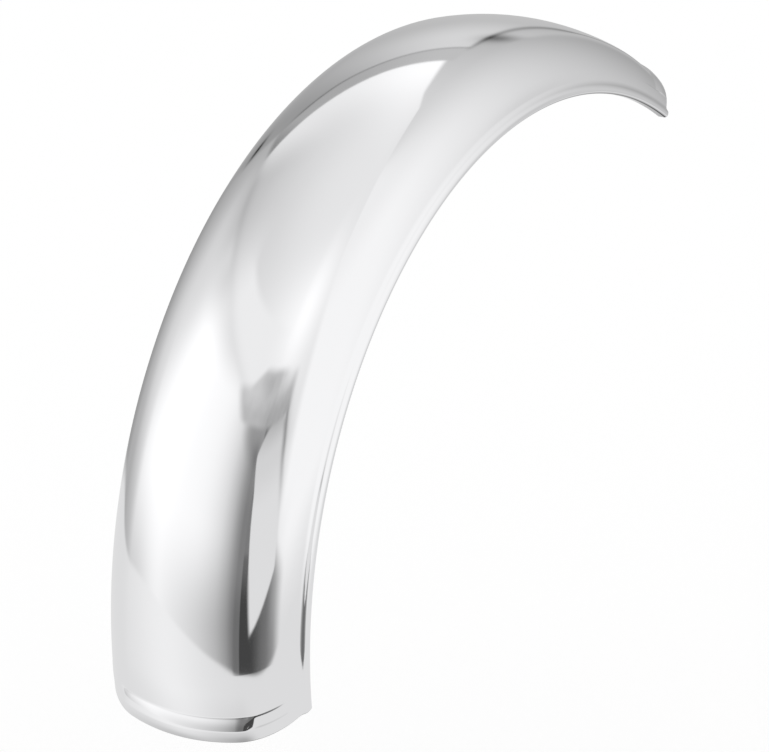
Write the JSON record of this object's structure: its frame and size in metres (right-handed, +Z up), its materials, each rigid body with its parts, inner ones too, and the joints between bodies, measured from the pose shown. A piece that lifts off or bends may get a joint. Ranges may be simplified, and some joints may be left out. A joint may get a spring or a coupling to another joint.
{
  "type": "motorcycle front mudguard",
  "caption": "Front mudguard for a motorcycle: a curved channel of polished sheet metal with round shoulders, flared and folded side lips and a raised bead across each end.",
  "frame": {"origin": "on the underside of the crown, in the middle plane, straight above the wheel's axle, where the fork bridge meets the guard; the axle is 348.5 mm below it", "axes": "as the guard sits on the motorcycle: +X forward, +Y along the axle to the rider's left, +Z up"},
  "size_m": [0.5582, 0.159, 0.4096],
  "materials": {
    "polished_aluminium": "mirror polished, bare metal"
  },
  "bodies": {
    "root": {"mudguard": "polished_aluminium"}
  },
  "joints": []
}
